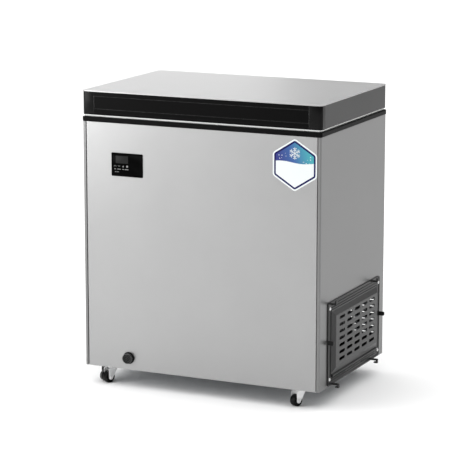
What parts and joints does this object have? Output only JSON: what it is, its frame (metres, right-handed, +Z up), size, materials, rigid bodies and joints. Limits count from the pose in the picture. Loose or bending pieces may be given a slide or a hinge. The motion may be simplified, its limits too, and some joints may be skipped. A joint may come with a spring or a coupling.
{
  "type": "chest freezer",
  "caption": "Upright-walled chest freezer with a hinged lid, recessed lid handle, side air grille with cord hooks, front drain cap and swivel casters.",
  "frame": {"origin": "middle of the whole freezer's bounding box, on the floor under the wheels", "axes": "+Z up, +Y from the front of the freezer to its back, +X to the right seen from the front"},
  "size_m": [0.773, 0.5314, 0.873],
  "materials": {
    "steel_front": "satin",
    "steel_side": "satin",
    "steel_lid": "satin",
    "galvanised_sheet": "matte",
    "white_liner": "satin",
    "black_collar": "satin",
    "black_gloss_panel": "gloss",
    "display_smoked": "gloss",
    "housing_plastic": "matte",
    "circuit_board": "satin",
    "label_film": "gloss",
    "drain_plastic": "satin",
    "white_tube": "satin",
    "grey_rubber": "matte",
    "vent_plastic": "satin",
    "chrome_screw": "polished",
    "black_enamel": "gloss",
    "black_rubber": "matte",
    "copper": "satin",
    "aluminium_tube": "satin",
    "steel_tube": "satin",
    "hinge_zinc": "satin",
    "zinc_fastener": "satin",
    "spring_steel": "satin",
    "brake_plastic": "gloss",
    "caster_zinc": "satin",
    "handle_black": "satin",
    "cap_gloss": "gloss",
    "lid_side_plastic": "satin",
    "white_lid_liner": "satin",
    "gasket_white": "matte",
    "foam": "matte",
    "basket_wire": "gloss",
    "wheel_black": "satin"
  },
  "bodies": {
    "cabinet": {"left_side_panel": "steel_side", "right_side_panel": "steel_side", "front_panel": "steel_front", "rear_panel": "galvanised_sheet", "bottom_panel": "galvanised_sheet", "compartment_liner": "galvanised_sheet", "inner_liner": "white_liner", "collar_frame": "black_collar", "control_panel": "black_gloss_panel", "display_window": "display_smoked", "control_box": "housing_plastic", "control_board": "circuit_board", "badge_label": "label_film", "drain_outlet": "drain_plastic", "drain_tube": "white_tube", "vent_frame": "vent_plastic", "vent_grille": "vent_plastic", "vent_screws": "chrome_screw", "compressor_tray": "galvanised_sheet", "compressor": "black_enamel", "compressor_grommets": "black_rubber", "relay_cover": "housing_plastic", "filter_drier": "copper", "refrigerant_pipes": "copper", "power_gland": "drain_plastic", "evaporator_coil": "aluminium_tube", "condenser_coil": "steel_tube", "hinge_brackets": "hinge_zinc", "hinge_pins": "zinc_fastener", "hinge_springs": "spring_steel", "hinge_screws": "zinc_fastener", "caster_plates": "caster_zinc", "caster_bolts": "zinc_fastener", "insulation_foam": "foam"},
    "lid": {"lid_hinge_screws": "zinc_fastener", "lid_top_skin": "steel_lid", "lid_front_trim": "handle_black", "lid_corner_cap_right": "cap_gloss", "lid_corner_cap_left": "cap_gloss", "lid_side_trims": "lid_side_plastic", "lid_rear_trim": "lid_side_plastic", "lid_inner_liner": "white_lid_liner", "lid_gasket": "gasket_white", "lid_foam": "foam", "hinge_leaves": "hinge_zinc"},
    "drain_cap": {"drain_cap": "drain_plastic"},
    "drain_plug": {"liner_drain_plug": "grey_rubber"},
    "basket": {"basket": "basket_wire"},
    "fork_front_left": {"caster_fork_front_left": "caster_zinc"},
    "wheel_front_left": {"caster_wheel_front_left": "wheel_black"},
    "fork_front_right": {"caster_fork_front_right": "caster_zinc"},
    "wheel_front_right": {"caster_wheel_front_right": "wheel_black"},
    "fork_rear_left": {"caster_fork_rear_left": "caster_zinc"},
    "wheel_rear_left": {"caster_wheel_rear_left": "wheel_black"},
    "fork_rear_right": {"caster_fork_rear_right": "caster_zinc"},
    "wheel_rear_right": {"caster_wheel_rear_right": "wheel_black"},
    "brake_lever": {"caster_brake_lever": "brake_plastic"}
  },
  "joints": [
    {"name": "lid_hinge", "type": "hinge", "parent": "cabinet", "child": "lid", "pos_m": [-0.0115, 0.25775, 0.8], "axis": [-1, 0, 0], "range_deg": [0, 80]},
    {"name": "drain_cap_pull", "type": "slide", "parent": "cabinet", "child": "drain_cap", "axis": [0, -1, 0], "range_m": [0, 0.04]},
    {"name": "drain_plug_lift", "type": "slide", "parent": "cabinet", "child": "drain_plug", "axis": [0, 0, 1], "range_m": [0, 0.03]},
    {"name": "basket_slide", "type": "slide", "parent": "cabinet", "child": "basket", "axis": [-1, 0, 0], "range_m": [0, 0.456]},
    {"name": "swivel_front_left", "type": "hinge", "parent": "cabinet", "child": "fork_front_left", "pos_m": [-0.3205, -0.20575, 0.056], "axis": [0, 0, 1], "continuous": true},
    {"name": "roll_front_left", "type": "hinge", "parent": "fork_front_left", "child": "wheel_front_left", "pos_m": [-0.32682, -0.21936, 0.017], "axis": [0.907, -0.421, 0], "continuous": true},
    {"name": "swivel_front_right", "type": "hinge", "parent": "cabinet", "child": "fork_front_right", "pos_m": [0.2835, -0.20575, 0.056], "axis": [0, 0, 1], "continuous": true},
    {"name": "roll_front_right", "type": "hinge", "parent": "fork_front_right", "child": "wheel_front_right", "pos_m": [0.27718, -0.21936, 0.017], "axis": [0.907, -0.421, 0], "continuous": true},
    {"name": "swivel_rear_left", "type": "hinge", "parent": "cabinet", "child": "fork_rear_left", "pos_m": [-0.3205, 0.19725, 0.056], "axis": [0, 0, 1], "continuous": true},
    {"name": "roll_rear_left", "type": "hinge", "parent": "fork_rear_left", "child": "wheel_rear_left", "pos_m": [-0.32682, 0.18364, 0.017], "axis": [0.907, -0.421, 0], "continuous": true},
    {"name": "swivel_rear_right", "type": "hinge", "parent": "cabinet", "child": "fork_rear_right", "pos_m": [0.2835, 0.19725, 0.056], "axis": [0, 0, 1], "continuous": true},
    {"name": "roll_rear_right", "type": "hinge", "parent": "fork_rear_right", "child": "wheel_rear_right", "pos_m": [0.27718, 0.18364, 0.017], "axis": [0.907, -0.421, 0], "continuous": true},
    {"name": "brake_lever_press", "type": "hinge", "parent": "fork_front_left", "child": "brake_lever", "pos_m": [-0.32682, -0.21936, 0.017], "axis": [0.907, -0.421, 0], "range_deg": [0, 20]}
  ]
}
